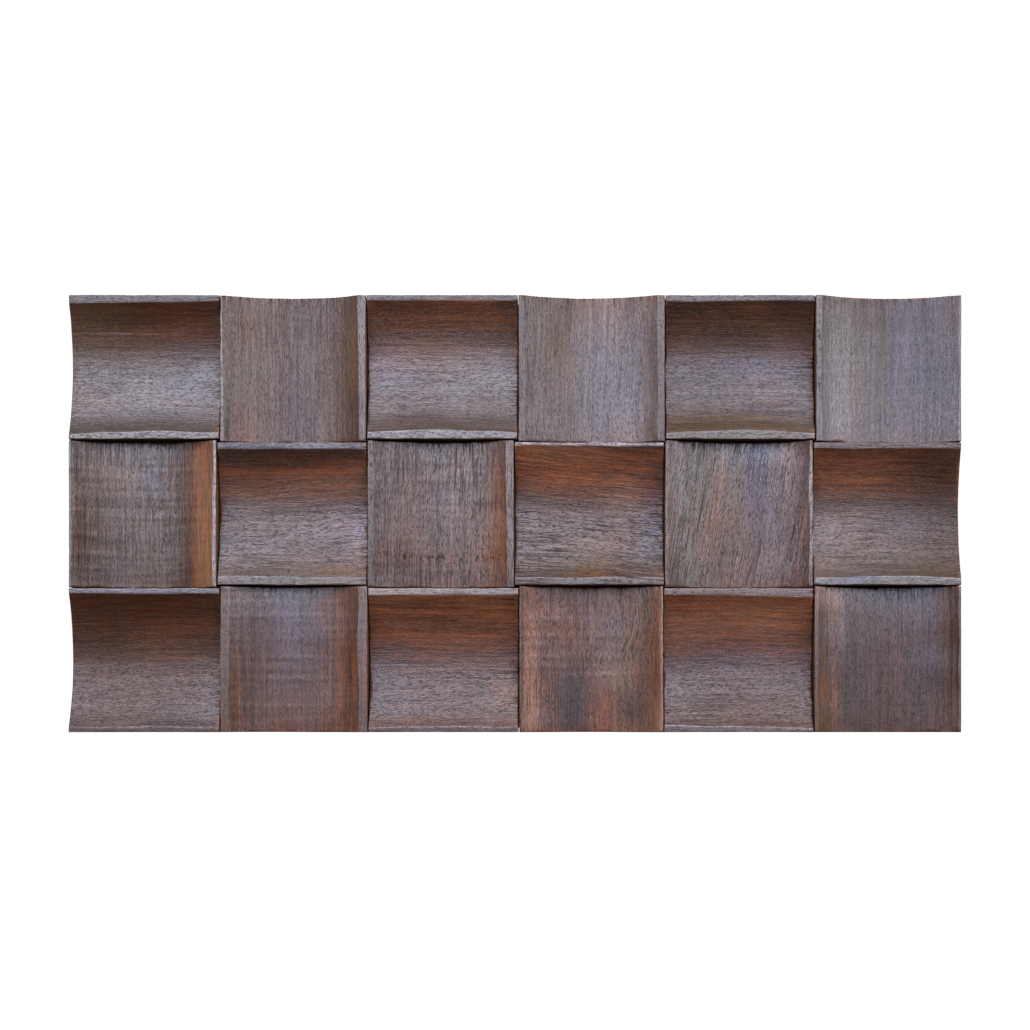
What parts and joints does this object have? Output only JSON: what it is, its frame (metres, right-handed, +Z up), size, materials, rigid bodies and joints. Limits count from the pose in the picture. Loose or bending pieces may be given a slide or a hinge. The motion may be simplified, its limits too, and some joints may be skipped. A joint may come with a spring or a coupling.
{
  "type": "carved wood wall panel",
  "caption": "Rectangular wall panel of scooped dark hardwood blocks, laid in a chequer of level and upright grain on a plywood board with keyhole hangers.",
  "frame": {"origin": "centre of the backing board's flat back, in the plane of the wall", "axes": "+Z up the wall, +X along the panel's length to the viewer's right, +Y into the wall, so the carved front faces -Y"},
  "size_m": [0.6, 0.0293, 0.294],
  "materials": {
    "block_wood": "dark brown open-pored hardwood, scooped, sanded and thinly oiled, with a satin sheen",
    "plywood": "raw birch plywood",
    "wood_glue": "dried wood glue",
    "yellow_zinc": "yellow zinc plate",
    "hanger_steel": "bright zinc plate"
  },
  "bodies": {
    "root": {"block_r1_c1": "block_wood", "block_r1_c2": "block_wood", "block_r1_c3": "block_wood", "block_r1_c4": "block_wood", "block_r1_c5": "block_wood", "block_r1_c6": "block_wood", "block_r2_c1": "block_wood", "block_r2_c2": "block_wood", "block_r2_c3": "block_wood", "block_r2_c4": "block_wood", "block_r2_c5": "block_wood", "block_r2_c6": "block_wood", "block_r3_c1": "block_wood", "block_r3_c2": "block_wood", "block_r3_c3": "block_wood", "block_r3_c4": "block_wood", "block_r3_c5": "block_wood", "block_r3_c6": "block_wood", "backing_board": "plywood", "glue_pads": "wood_glue", "block_screws": "yellow_zinc", "hanger_left": "hanger_steel", "hanger_right": "hanger_steel", "hanger_screws": "hanger_steel"}
  },
  "joints": []
}
